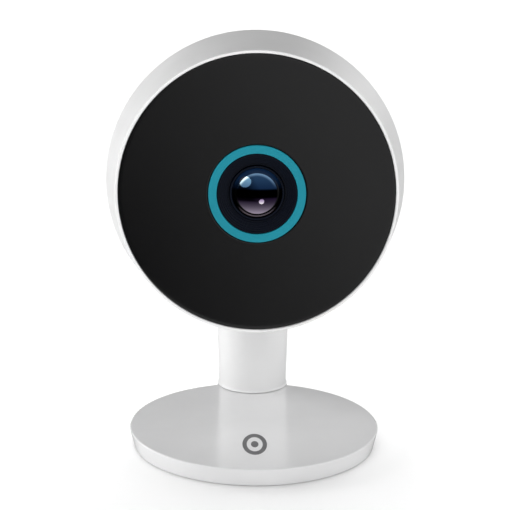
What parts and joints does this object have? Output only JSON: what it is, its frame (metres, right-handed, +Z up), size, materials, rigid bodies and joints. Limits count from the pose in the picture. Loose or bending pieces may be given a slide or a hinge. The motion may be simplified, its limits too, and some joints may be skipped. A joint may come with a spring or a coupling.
{
  "type": "tabletop security camera",
  "caption": "Tabletop Wi-Fi security camera: conical head with a domed black face, ringed wide-angle lens, tilt hinge, round post and weighted disc base.",
  "frame": {"origin": "on the table, under the centre of the base disc", "axes": "+Z up, -Y the way the camera looks, +X to the right of someone facing the camera"},
  "size_m": [0.0768, 0.0741, 0.1042],
  "materials": {
    "white_base": "moulded, satin gloss",
    "grey_print": "printed",
    "steel_plate": "zinc plated",
    "rubber_pad": "soft rubber",
    "steel_screw": "zinc plated",
    "white_shell": "moulded, fine satin gloss",
    "bush": "turned brass",
    "black_matte": "fine matte",
    "pin_steel": "ground steel",
    "black_screw": "blackened steel",
    "black_gloss": "polished, infrared-clear",
    "tape": "foam tape",
    "teal": "satin",
    "black_metal": "black anodised",
    "lens_glass": "coated",
    "copper": "enamelled copper coil",
    "sensor_top": "sensor cover glass",
    "board_green": "solder mask",
    "ribbon": "flexible circuit",
    "lamp": "clear resin, dark chip",
    "foam": "closed-cell foam",
    "wire": "insulated wire",
    "chip": "moulded epoxy",
    "thermal": "soft gap pad",
    "alu": "rolled sheet",
    "can": "tinned steel",
    "antenna": "circuit board",
    "filter_red": "infrared-cut coating",
    "filter_clear": "clear",
    "button_grey": "satin"
  },
  "bodies": {
    "stand": {"base_cover": "white_base", "base_badge": "grey_print", "base_weight": "steel_plate", "base_pad": "rubber_pad", "neck_screws": "steel_screw", "neck_post": "white_shell", "hinge_bush": "bush", "hinge_washers": "black_matte"},
    "head": {"hinge_pin": "pin_steel", "hinge_caps": "white_shell", "head_shell": "white_shell", "rear_cover": "white_shell", "cover_screws": "black_screw", "face_panel": "black_gloss", "panel_tape": "tape", "accent_ring": "teal", "lens_bezel": "black_matte", "lens_barrel": "black_metal", "front_glass": "lens_glass", "middle_glass": "lens_glass", "rear_glass": "lens_glass", "aperture_spacer": "black_metal", "lens_holder": "black_matte", "filter_guide": "black_matte", "filter_coil": "copper", "image_sensor": "sensor_top", "sensor_board": "board_green", "sensor_ribbon": "ribbon", "carrier": "black_matte", "lamp_board": "board_green", "lamps": "lamp", "light_seal": "foam", "lamp_wires": "wire", "small_screws": "steel_screw", "main_board": "board_green", "main_chip": "chip", "thermal_pad": "thermal", "heat_spreader": "alu", "usb_socket": "can", "usb_tongue": "black_matte", "card_socket": "can", "wifi_antenna": "antenna", "speaker": "black_matte", "reset_switch": "black_matte"},
    "ir_filter": {"filter_frame": "black_matte", "cut_filter": "filter_red", "clear_filter": "filter_clear"},
    "button": {"reset_button": "button_grey", "switch_plunger": "black_matte"}
  },
  "joints": [
    {"name": "head_tilt", "type": "hinge", "parent": "stand", "child": "head", "pos_m": [0, 0.0324, 0.043], "axis": [-1, 0, 0], "range_deg": [-25, 35]},
    {"name": "filter_slide", "type": "slide", "parent": "head", "child": "ir_filter", "axis": [-1, 0, 0], "range_m": [0, 0.0065]},
    {"name": "reset_press", "type": "slide", "parent": "head", "child": "button", "axis": [0, -0.9942, 0.108], "range_m": [0, 0.0004], "stiffness_N_per_m": 4000, "springref_m": -0.0001}
  ]
}
